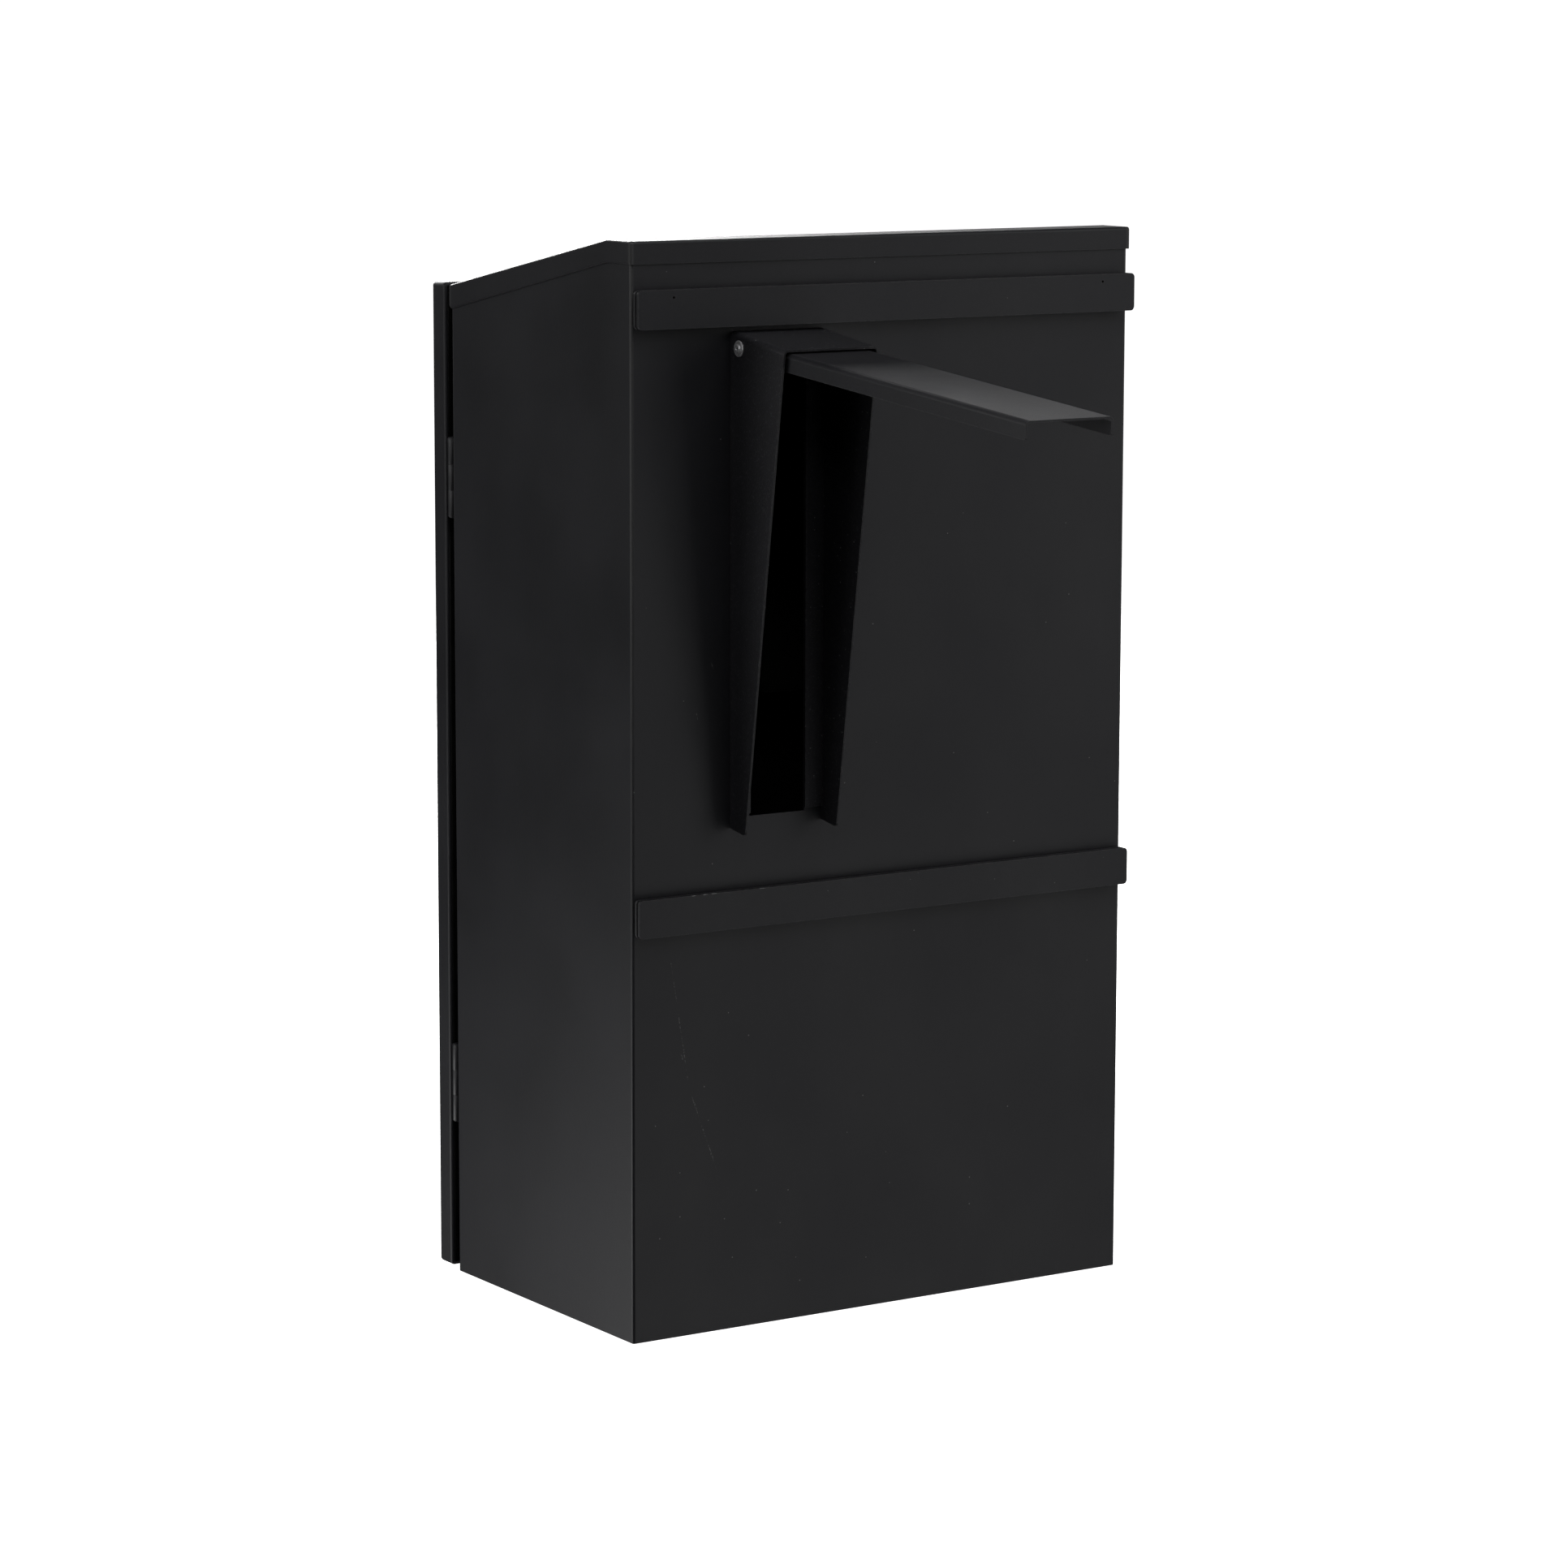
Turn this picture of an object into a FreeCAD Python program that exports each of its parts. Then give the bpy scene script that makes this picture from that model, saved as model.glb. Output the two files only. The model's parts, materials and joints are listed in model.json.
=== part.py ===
"""Wall-hung steel parcel drop box: cabinet, front door with drop flap, cam lock, rails and swing arm.

Frame: millimetres, +Z up, origin at the centre of the cabinet's underside.
The door faces -Y, the mounting rails and the swing arm are on the +Y side, the door hinges are at +X.
"""
import FreeCAD
import Part
import Sketcher

import math
import os
import re

os.makedirs("parts", exist_ok=True)
doc = FreeCAD.newDocument("ParcelDropBox")

# ---------------------------------------------------------------------------------------------------
# Driving dimensions, all in millimetres or degrees
# ---------------------------------------------------------------------------------------------------
DIMENSIONS = {
    # cabinet
    "width": 400, "depth": 236.6, "skin": 1.5, "bend": 2, "jamb_lip": 18,
    "roof_top": 734, "roof_front": 694.1, "roof_flat": 29, "roof_skin": 1.2, "roof_lap": 0.1,
    "roof_flange": 15, "roof_front_flange": 16.7, "ridge_round": 12, "roof_bend": 2, "roof_nose": 3,
    "roof_edge": 1.1, "pan_flange": 20,
    "mat_thickness": 3, "mat_margin": 9, "mat_corner": 8,
    "opening_half": 170, "opening_low": 22, "opening_high": 652, "frame_low": 1.6, "frame_high": 691,
    "frame_inset": 1, "frame_corner": 6, "seal_outer": 180, "seal_border": 10, "seal_band": 9,
    "seal_clear": 0.7, "seal_corner": 8, "hole_clear": 0.5,
    # slot in the back and arm bracket
    "arm_centre": 86.6, "slot_half": 21.75, "slot_low": 350, "slot_high": 650,
    "bracket_width": 74, "bracket_sheet": 1.5, "bracket_top": 673.6, "bracket_front_top": 664.9,
    "bracket_reach": 64.5, "bracket_toe": 18.5, "bracket_low": 340, "bracket_heel": 343,
    "bracket_bend": 3.5, "bracket_corner": 3, "bracket_past": 5, "lip_low": 352, "lip_high": 640,
    # swing arm
    "pivot_out": 10.5, "pivot_up": 662.6, "arm_tilt": 5.2, "arm_width": 66, "arm_sheet": 1.5,
    "arm_length": 317.6, "arm_rise": 4.3, "arm_flange": 12, "arm_ear": 6, "arm_web_start": 13,
    "arm_web_ramp": 3, "arm_ear_length": 45, "arm_ear_round": 5.95, "arm_bend": 3.2, "arm_corner": 1.2,
    "pivot_radius": 3, "pivot_fit": 0.06, "washer_gap": 0.12, "washer_radius": 5,
    "rivet_flange": 5.45, "rivet_flange_sheet": 0.9, "rivet_ring": 2.7, "rivet_ring_height": 1.9,
    "rivet_ring_chamfer": 0.4, "mandrel_radius": 1, "mandrel_depth": 3, "mandrel_chamfer": 0.3,
    "rivet_tail": 4.4, "rivet_tail_length": 4, "rivet_tail_chamfer": 1.7,
    # mounting rails
    "rail_half": 200, "rail_height": 25.7, "upper_rail": 689.9, "lower_rail": 289.2, "standoff": 3,
    "rail_plate": 2.3, "rail_slit": 1.5, "rail_corner": 3, "spacer_width": 8, "spacer_height": 7,
    "spacer_in": 5, "standoff_in": 24, "standoff_radius": 6,
    "rail_dot_x": 172.9, "rail_dot_up": 7.7, "rail_dot_radius": 0.9,
    # door
    "door_half": 200.8, "door_low": 2, "door_high": 695.7, "door_gap": 8.4, "door_thick": 17.2,
    "door_lip": 20, "door_corner": 3, "door_bend": 2, "liner_clear": 0.6,
    # hinges
    "hinge_x": 197.7, "hinge_length": 54, "upper_hinge": 561.5, "lower_hinge": 134.8,
    "knuckle_radius": 3.4, "knuckle_gap": 0.2, "pin_radius": 1.55, "pin_fit": 0.05, "leaf_far": 183,
    "leaf_sheet": 1.5, "leaf_clear": 0.3, "leaf_corner": 2, "pin_head": 1.4, "pin_head_rim": 0.6,
    "pin_head_shy": 0.4, "pin_tip_radius": 0.9, "pin_play": 0.8,
    "rivet_x": 188.5, "rivet_step": 17, "rivet_radius": 1.6, "rivet_tail_flare": 0.9,
    "rivet_tail_sheet": 0.8, "rivet_head_radius": 2.8, "rivet_head": 1,
    # drop opening, flap and chute
    "drop_half": 150, "drop_low": 470, "drop_high": 650, "throat_sheet": 1.2, "throat_lip": 8,
    "flap_gap": 1.5, "flap_top_gap": 3.5, "flap_return": 10, "flap_corner": 1,
    "rod_radius": 2, "rod_fit": 0.06, "rod_in": 5.5, "rod_past": 2, "rod_height": 641,
    "clip_radius": 3.8, "clip_thickness": 0.8,
    "pull_half": 60, "pull_low": 486, "pull_leg": 20, "pull_reach": 17, "pull_lip": 8, "pull_sheet": 2,
    "pull_rivet_in": 12, "pull_rivet_up": 12.4,
    "buffer_radius": 4, "buffer_base_step": 0.3, "buffer_tip_step": 1, "buffer_clear": 0.3,
    "buffer_low": 24, "buffer_high": 40,
    "chute_half": 140, "chute_flange": 40, "chute_top": 467, "chute_sheet": 1.2,
    "chute_reach": 90, "chute_drop": 60, "chute_root": 4,
    # lock
    "lock_x": 152, "lock_z": 348, "lock_radius": 9.5, "lock_rim_radius": 11.5, "lock_rim": 3,
    "lock_back": 23.4, "plug_radius": 6, "plug_fit": 0.05, "lock_nut_flats": 24, "lock_nut": 4,
    "lock_chamfer": 1, "plug_shy": 0.4, "plug_tap": 6,
    "cam_clear": 0.8, "cam_sheet": 2, "cam_corner": 3, "cam_half": 7, "cam_head_round": 6.8,
    "cam_length": 30, "cam_screw_radius": 2, "cam_screw_length": 5, "cam_screw_head": 3.5,
    "cam_screw_height": 2.4, "keyway_half": 0.6, "keyway_depth": 4, "keyway_in": 2,
}

sheet = doc.addObject("Spreadsheet::Sheet", "Dims")
for row, (alias, number) in enumerate(DIMENSIONS.items(), start=1):
    sheet.set(f"A{row}", alias)
    sheet.set(f"B{row}", str(number))
    sheet.setAlias(f"B{row}", alias)
doc.recompute()

# Derived planes and lengths, as expressions of the sheet's cells
BACK = "depth / 2"
FRONT = "-depth / 2"
SIDE = "width / 2"
ROOF_LAP = "(roof_skin + roof_lap)"
ROOF_SLOPE = f"((roof_top - roof_front) / (depth - roof_flat + {ROOF_LAP}))"
RIDGE = f"({BACK} - roof_flat)"
SHELL_TOP = "(roof_top - roof_skin)"
SHELL_FRONT_TOP = f"({SHELL_TOP} - (depth - roof_flat) * {ROOF_SLOPE})"
DOOR_REAR = f"({FRONT} - door_gap)"
DOOR_FRONT = f"({DOOR_REAR} - door_thick)"
DOOR_SKIN_REAR = f"({DOOR_FRONT} + skin)"
LINER_REAR = f"({DOOR_REAR} - skin)"
LINER_FRONT = f"({LINER_REAR} - skin)"
FRAME_FRONT = f"({FRONT} + skin)"
FRAME_REAR = f"({FRONT} + 2 * skin)"
HINGE_Y = f"({FRONT} - door_gap / 2)"
ROD_Y = f"({DOOR_FRONT} + rod_in)"
PIVOT_Y = f"({BACK} + pivot_out)"
RAIL_INNER = f"({BACK} + standoff)"
RAIL_SLIT = f"({RAIL_INNER} + rail_plate)"
RAIL_OUTER = f"({RAIL_SLIT} + rail_slit)"
RAIL_FACE = f"({RAIL_OUTER} + rail_plate)"
CAM_FRONT = f"({FRAME_REAR} + cam_clear)"

# Each plane's sketch axes are the two others in X, Y, Z order; the XZ plane's normal points to -Y
PLANES = {"x": ("YZ_Plane", 1), "y": ("XZ_Plane", -1), "z": ("XY_Plane", 1)}
NODES = {}


# ---------------------------------------------------------------------------------------------------
# Helpers
# ---------------------------------------------------------------------------------------------------
def dims(text):
    """Turn plain dimension names into references to the sheet, but not functions such as cos."""
    return re.sub(r"\b([a-z][a-z_]+)\b(?!\()", r"Dims.\1", str(text))


def value(text):
    """Evaluate an expression of dimension names as a number."""
    result = sheet.evalExpression(dims(text))
    return float(getattr(result, "Value", result))


def new_body(name):
    """Start a PartDesign body that becomes the node of that name."""
    body = doc.addObject("PartDesign::Body", name)
    body.Label = name
    NODES[name] = body
    return body


def new_sketch(body, axis, level):
    """Sketch across an axis, at a level along it, on one of the body's own origin planes."""
    role, sign = PLANES[axis]
    sketch = body.newObject("Sketcher::SketchObject", f"{body.Name}_sketch")
    plane = next(item for item in body.Origin.OriginFeatures if item.Role == role)
    sketch.AttachmentSupport = [(plane, "")]
    sketch.MapMode = "FlatFace"
    sketch.setExpression("AttachmentOffset.Base.z", dims(f"{sign} * ({level})"))
    return sketch


def pin_point(sketch, geometry, point, place):
    """Tie one point of a sketch to a place given by two expressions."""
    for kind, text in zip(("DistanceX", "DistanceY"), place):
        index = sketch.addConstraint(
            Sketcher.Constraint(kind, -1, 1, geometry, point, value(text)))
        sketch.setExpression(f"Constraints[{index}]", dims(text))


def outline(sketch, corners):
    """Closed polygon through corners, each tied to its two expressions."""
    points = [FreeCAD.Vector(value(first), value(second), 0) for first, second in corners]
    count = len(points)
    for index in range(count):
        sketch.addGeometry(Part.LineSegment(points[index], points[(index + 1) % count]), False)
    for index in range(count):
        sketch.addConstraint(
            Sketcher.Constraint("Coincident", index, 2, (index + 1) % count, 1))
    for index, corner in enumerate(corners):
        pin_point(sketch, index, 1, corner)


def rectangle(low_first, high_first, low_second, high_second):
    """Corners of a rectangle from the low and high expressions of both axes."""
    return [(low_first, low_second), (high_first, low_second),
            (high_first, high_second), (low_first, high_second)]


def circles(sketch, centres, radius):
    """Circles of one radius at the given centres."""
    for place in centres:
        centre = FreeCAD.Vector(value(place[0]), value(place[1]), 0)
        index = sketch.addGeometry(
            Part.Circle(centre, FreeCAD.Vector(0, 0, 1), value(radius)), False)
        pin_point(sketch, index, 3, place)
        constraint = sketch.addConstraint(Sketcher.Constraint("Radius", index, value(radius)))
        sketch.setExpression(f"Constraints[{constraint}]", dims(radius))


def extrude(body, kind, axis, low, high, corners=None, centres=None, radius=None):
    """Add or cut a straight block between two levels along an axis, and check that it did."""
    before = body.Shape.Volume if body.Tip else 0.0
    start = low if PLANES[axis][1] > 0 else high
    sketch = new_sketch(body, axis, start)
    if corners:
        outline(sketch, corners)
    else:
        circles(sketch, centres, radius)
    feature = body.newObject("PartDesign::Pad" if kind == "add" else "PartDesign::Pocket",
                             f"{body.Name}_{kind}")
    feature.Profile = sketch
    feature.setExpression("Length", dims(f"({high}) - ({low})"))
    if kind == "cut":
        feature.Reversed = True
    doc.recompute()
    change = body.Shape.Volume - before
    if (kind == "add" and change <= 0) or (kind == "cut" and change >= 0):
        raise RuntimeError(f"{feature.Name} of {body.Label} changed nothing")
    return feature


def box(body, kind, x_low, x_high, y_low, y_high, z_low, z_high):
    """Add or cut a rectangular block."""
    extrude(body, kind, "z", z_low, z_high, rectangle(x_low, x_high, y_low, y_high))


def holes(body, axis, low, high, centres, radius):
    """Cut round holes along an axis."""
    extrude(body, "cut", axis, low, high, centres=centres, radius=radius)


def near(number, *targets):
    """True if the number is one of the target expressions."""
    return any(abs(number - value(target)) < 0.02 for target in targets)


def round_edges(body, radius, test):
    """Fillet every straight or round edge whose vertices and mid-point pass the test."""
    chosen = []
    for index, edge in enumerate(body.Shape.Edges, start=1):
        ends = [vertex.Point for vertex in edge.Vertexes]
        if len(ends) == 2 and test(ends[0], ends[1]):
            chosen.append(f"Edge{index}")
    if not chosen:
        raise RuntimeError(f"no edge to round on {body.Label}")
    base = body.Tip
    fillet = body.newObject("PartDesign::Fillet", f"{body.Name}_round")
    fillet.Base = (base, chosen)
    fillet.setExpression("Radius", dims(radius))
    doc.recompute()
    return fillet


def upright(start, end):
    """True for an edge parallel to Z."""
    return math.hypot(start.x - end.x, start.y - end.y) < 1e-4


def across(start, end):
    """True for an edge parallel to X."""
    return math.hypot(start.y - end.y, start.z - end.z) < 1e-4


def along_y(start, end):
    """True for an edge parallel to Y."""
    return math.hypot(start.x - end.x, start.z - end.z) < 1e-4


def revolve(name, axis, centre, profile):
    """Turn a closed outline of (radius, level) expressions round an axis through a centre.

    The part is drawn about Z at the origin, then laid along the axis.
    """
    body = new_body(name) if name not in NODES else NODES[name]
    sketch = new_sketch(body, "y", "0")
    outline(sketch, profile)
    feature = body.newObject("PartDesign::Revolution", f"{name}_turn")
    feature.Profile = sketch
    feature.ReferenceAxis = (sketch, ["V_Axis"])
    feature.Angle = 360
    turn = {"z": FreeCAD.Rotation(), "x": FreeCAD.Rotation(FreeCAD.Vector(0, 1, 0), 90),
            "-x": FreeCAD.Rotation(FreeCAD.Vector(0, 1, 0), -90),
            "-y": FreeCAD.Rotation(FreeCAD.Vector(1, 0, 0), 90),
            "y": FreeCAD.Rotation(FreeCAD.Vector(1, 0, 0), -90)}[axis]
    body.Placement = FreeCAD.Placement(FreeCAD.Vector(*[value(text) for text in centre]), turn)
    for letter, text in zip("xyz", centre):
        body.setExpression(f"Placement.Base.{letter}", dims(text))
    doc.recompute()
    return body


def group(name, pieces):
    """Gather separate solids in one node."""
    gathered = doc.addObject("Part::Compound", name)
    gathered.Links = pieces
    gathered.Label = name
    for piece in pieces:
        NODES.pop(piece.Name, None)
    NODES[name] = gathered
    doc.recompute()


def turned_group(name, axis, centres, profile):
    """Several equal turned pieces in one node; axis is one for all, or one for each."""
    axes = [axis] * len(centres) if isinstance(axis, str) else axis
    group(name, [revolve(f"{name}_{index}", turn, centre, profile)
                 for index, (turn, centre) in enumerate(zip(axes, centres), start=1)])


# ---------------------------------------------------------------------------------------------------
# Cabinet
# ---------------------------------------------------------------------------------------------------
def body_shell():
    """Back and sides wrapped in one sheet, with lips turned in at the front and a slot in the back."""
    body = new_body("body_shell")
    extrude(body, "add", "x", f"-{SIDE}", SIDE,
            [(FRONT, "0"), (BACK, "0"), (BACK, SHELL_TOP), (RIDGE, SHELL_TOP),
             (FRONT, SHELL_FRONT_TOP)])
    round_edges(body, "bend", lambda start, end: upright(start, end))
    box(body, "cut", f"-{SIDE} + skin", f"{SIDE} - skin", f"{FRONT} + skin", f"{BACK} - skin",
        "0", "roof_top")
    box(body, "cut", f"-{SIDE} + jamb_lip", f"{SIDE} - jamb_lip", FRONT, f"{FRONT} + skin",
        "0", "roof_top")
    round_edges(body, "bend - skin",
                lambda start, end: upright(start, end) and near(abs(start.x), f"{SIDE} - skin"))
    box(body, "cut", "arm_centre - slot_half", "arm_centre + slot_half", f"{BACK} - skin", BACK,
        "slot_low", "slot_high")
    holes(body, "y", FRONT, f"{FRONT} + skin", hinge_rivets(), "rivet_radius")


def hinge_rivets():
    """Places of the rivets of both hinges, in X and Z."""
    return [("rivet_x", f"{centre} {sign} rivet_step")
            for centre in ("upper_hinge", "lower_hinge") for sign in "-+"]


def bottom_pan():
    """Floor tray with its flanges turned up inside the shell."""
    body = new_body("bottom_pan")
    box(body, "add", f"-{SIDE} + skin", f"{SIDE} - skin", FRAME_REAR, f"{BACK} - skin",
        "0", "pan_flange")
    round_edges(body, "bend", lambda start, end: upright(start, end))
    box(body, "cut", f"-{SIDE} + 2 * skin", f"{SIDE} - 2 * skin", f"{FRAME_REAR} + skin",
        f"{BACK} - 2 * skin", "skin", "pan_flange")
    round_edges(body, "bend - skin",
                lambda start, end: upright(start, end) and near(abs(start.x), f"{SIDE} - 2 * skin"))


def front_frame():
    """Flat ring behind the shell's lips, round the door opening."""
    body = new_body("front_frame")
    box(body, "add", f"-{SIDE} + skin + frame_inset", f"{SIDE} - skin - frame_inset",
        FRAME_FRONT, FRAME_REAR, "frame_low", "frame_high")
    extrude(body, "cut", "y", FRAME_FRONT, FRAME_REAR,
            rectangle("-opening_half", "opening_half", "opening_low", "opening_high"))
    round_edges(body, "frame_corner",
                lambda start, end: along_y(start, end) and near(abs(start.x), "opening_half"))
    holes(body, "y", FRAME_FRONT, FRAME_REAR, hinge_rivets(), "rivet_head_radius + hole_clear")


def door_seal():
    """Rubber ring on the front frame, inside the shell's lips."""
    body = new_body("door_seal")
    inner = "(seal_outer - seal_band)"
    face = f"{DOOR_REAR} + seal_clear"
    low = "opening_low - seal_border"
    high = "opening_high + seal_border"
    extrude(body, "add", "y", face, FRAME_FRONT, rectangle("-seal_outer", "seal_outer", low, high))
    round_edges(body, "seal_corner", lambda start, end: along_y(start, end))
    extrude(body, "cut", "y", face, FRAME_FRONT,
            rectangle(f"-{inner}", inner, f"{low} + seal_band", f"{high} - seal_band"))
    round_edges(body, "seal_band / 3",
                lambda start, end: near(start.y, face) and near(end.y, face))


def roof_cap():
    """Folded cap: flat strip at the back, slope to the front, short flanges all round."""
    body = new_body("roof_cap")
    outer_back = f"{BACK} + {ROOF_LAP}"
    outer_front = f"{FRONT} - {ROOF_LAP}"
    half = f"{SIDE} + {ROOF_LAP}"
    inner_front_top = f"{SHELL_FRONT_TOP} - roof_lap * {ROOF_SLOPE}"
    extrude(body, "add", "x", f"-({half})", half,
            [(outer_back, "roof_top - roof_flange"), (outer_back, "roof_top"), (RIDGE, "roof_top"),
             (outer_front, "roof_front"), (outer_front, "roof_front - roof_front_flange"),
             (RIDGE, "roof_top - roof_flange")])
    round_edges(body, "roof_nose",
                lambda start, end: across(start, end) and near(start.y, outer_front))
    round_edges(body, "roof_bend",
                lambda start, end: across(start, end) and near(start.y, outer_back)
                and near(start.z, "roof_top"))
    round_edges(body, "ridge_round",
                lambda start, end: across(start, end) and near(start.y, RIDGE))
    extrude(body, "cut", "x", f"-{SIDE} - roof_lap", f"{SIDE} + roof_lap",
            [(f"{BACK} + roof_lap", "0"), (f"{BACK} + roof_lap", SHELL_TOP), (RIDGE, SHELL_TOP),
             (f"{FRONT} - roof_lap", inner_front_top), (f"{FRONT} - roof_lap", "0")])
    round_edges(body, "roof_edge",
                lambda start, end: near(abs(start.x), half) and near(end.x, start.x))


def floor_mat():
    """Rubber mat on the floor pan."""
    body = new_body("floor_mat")
    box(body, "add", f"-{SIDE} + mat_margin", f"{SIDE} - mat_margin", f"{FRAME_REAR} + mat_margin",
        f"{BACK} - mat_margin", "skin", "skin + mat_thickness")
    round_edges(body, "mat_corner", lambda start, end: upright(start, end))


# ---------------------------------------------------------------------------------------------------
# Rails on the back
# ---------------------------------------------------------------------------------------------------
def rail_plate(name, centre, y_low, y_high, dot=False):
    """One flat strap of a rail, with rounded ends."""
    body = new_body(name)
    extrude(body, "add", "y", y_low, y_high,
            rectangle("-rail_half", "rail_half", f"{centre} - rail_height / 2",
                      f"{centre} + rail_height / 2"))
    round_edges(body, "rail_corner", lambda start, end: along_y(start, end))
    if dot:
        holes(body, "y", y_low, y_high, [("rail_dot_x", f"{centre} + rail_dot_up"),
                                         ("-rail_dot_x", f"{centre} + rail_dot_up")],
              "rail_dot_radius")


def rail(prefix, centre):
    """One rail: two straps with spacers in the slit between them, on round stand-offs."""
    rail_plate(f"{prefix}_rail_inner_strap", centre, RAIL_INNER, RAIL_SLIT)
    rail_plate(f"{prefix}_rail_outer_strap", centre, RAIL_OUTER, RAIL_FACE, dot=prefix == "upper")
    spacers = []
    for index, place in enumerate(("-rail_half + spacer_in", "-rail_half / 3", "rail_half / 3",
                                   "rail_half - spacer_in"), start=1):
        body = new_body(f"{prefix}_spacer_{index}")
        box(body, "add", f"{place} - spacer_width / 2", f"{place} + spacer_width / 2", RAIL_SLIT,
            RAIL_OUTER, f"{centre} - spacer_height / 2", f"{centre} + spacer_height / 2")
        spacers.append(body)
    group(f"{prefix}_rail_spacers", spacers)
    places = ("-rail_half + standoff_in", "-rail_half / 3", "rail_half / 3", "rail_half - standoff_in")
    turned_group(f"{prefix}_rail_standoffs", "y", [(place, BACK, centre) for place in places],
                 rectangle("0", "standoff_radius", "0", "standoff"))


# ---------------------------------------------------------------------------------------------------
# Arm on the back
# ---------------------------------------------------------------------------------------------------
def arm_bracket():
    """Tapered folded bracket: two cheeks, a sloping top and two lips on the back panel."""
    body = new_body("arm_bracket")
    low_x = "arm_centre - bracket_width / 2"
    high_x = "arm_centre + bracket_width / 2"
    inner_low_x = f"{low_x} + bracket_sheet"
    inner_high_x = f"{high_x} - bracket_sheet"
    reach = f"{BACK} + bracket_reach"
    past = f"{reach} + bracket_past"
    foot = "bracket_low - bracket_past"
    extrude(body, "add", "x", low_x, high_x,
            [(BACK, "bracket_heel"), (f"{BACK} + bracket_toe", "bracket_low"),
             (reach, "bracket_front_top"), (BACK, "bracket_top")])
    top_low = value("bracket_front_top - 1")
    round_edges(body, "bracket_bend",
                lambda start, end: near(start.x, low_x, high_x) and abs(start.x - end.x) < 1e-4
                and min(start.z, end.z) > top_low)
    round_edges(body, "bracket_corner",
                lambda start, end: across(start, end) and near(start.z, "bracket_low"))
    slope = "((bracket_top - bracket_front_top) / bracket_reach)"
    under = "bracket_top - bracket_sheet"
    extrude(body, "cut", "x", inner_low_x, inner_high_x,
            [(f"{BACK} + bracket_sheet", foot), (past, foot),
             (past, f"{under} - (bracket_reach + bracket_past) * {slope}"),
             (f"{BACK} + bracket_sheet", f"{under} - bracket_sheet * {slope}")])
    ceiling_low = value("bracket_front_top - 3 * bracket_sheet")
    round_edges(body, "bracket_bend - bracket_sheet",
                lambda start, end: near(start.x, inner_low_x, inner_high_x)
                and abs(start.x - end.x) < 1e-4 and min(start.z, end.z) > ceiling_low
                and start.z != end.z)
    slot_low_x = "arm_centre - slot_half"
    slot_high_x = "arm_centre + slot_half"
    lip_face = f"{BACK} + bracket_sheet"
    box(body, "cut", slot_low_x, slot_high_x, BACK, lip_face, foot, "lip_high")
    box(body, "cut", inner_low_x, slot_low_x, BACK, lip_face, foot, "lip_low")
    box(body, "cut", slot_high_x, inner_high_x, BACK, lip_face, foot, "lip_low")
    box(body, "cut", inner_low_x, inner_high_x, BACK, lip_face, "lip_high", f"{under} - bracket_bend")
    for x_low, x_high in ((low_x, inner_low_x), (inner_high_x, high_x)):
        holes(body, "x", x_low, x_high, [(PIVOT_Y, "pivot_up")], "pivot_radius + pivot_fit")


def swing_arm():
    """C channel with its flanges down and rounded ears at the pivot, drawn level, then tilted."""
    body = new_body("swing_arm")
    foot = "arm_rise - arm_flange"
    extrude(body, "add", "x", "-arm_width / 2", "arm_width / 2",
            [("-arm_ear", "-arm_ear"), ("0", "-arm_ear"), ("arm_ear_length", foot),
             ("arm_length", foot), ("arm_length", "arm_rise"), ("arm_web_start", "arm_rise"),
             ("arm_web_start - arm_web_ramp", "arm_ear"), ("-arm_ear", "arm_ear")])
    round_edges(body, "arm_ear_round",
                lambda start, end: across(start, end) and near(start.y, "-arm_ear"))
    round_edges(body, "arm_bend",
                lambda start, end: along_y(start, end) and near(abs(start.x), "arm_width / 2")
                and near(start.z, "arm_rise"))
    inner = "(arm_width / 2 - arm_sheet)"
    extrude(body, "cut", "x", f"-{inner}", inner,
            [("arm_web_start", f"{foot} - 1"), ("arm_length + 1", f"{foot} - 1"),
             ("arm_length + 1", "arm_rise - arm_sheet"), ("arm_web_start", "arm_rise - arm_sheet")])
    extrude(body, "cut", "x", f"-{inner}", inner,
            rectangle("-arm_ear - 1", "arm_web_start", f"{foot} - 1", "arm_ear + 1"))
    round_edges(body, "arm_bend - arm_sheet",
                lambda start, end: along_y(start, end) and near(abs(start.x), inner)
                and near(start.z, "arm_rise - arm_sheet"))
    round_edges(body, "arm_corner",
                lambda start, end: across(start, end) and near(start.y, "arm_length")
                and near(start.z, foot))
    for x_low, x_high in (("-arm_width / 2", f"-{inner}"), (inner, "arm_width / 2")):
        holes(body, "x", x_low, x_high, [("0", "0")], "pivot_radius + pivot_fit")
    tilt = FreeCAD.Rotation(FreeCAD.Vector(1, 0, 0), -value("arm_tilt"))
    place = FreeCAD.Vector(value("arm_centre"), value(PIVOT_Y), value("pivot_up"))
    body.Placement = FreeCAD.Placement(place, tilt)
    for letter, text in zip("xyz", ("arm_centre", PIVOT_Y, "pivot_up")):
        body.setExpression(f"Placement.Base.{letter}", dims(text))


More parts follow.
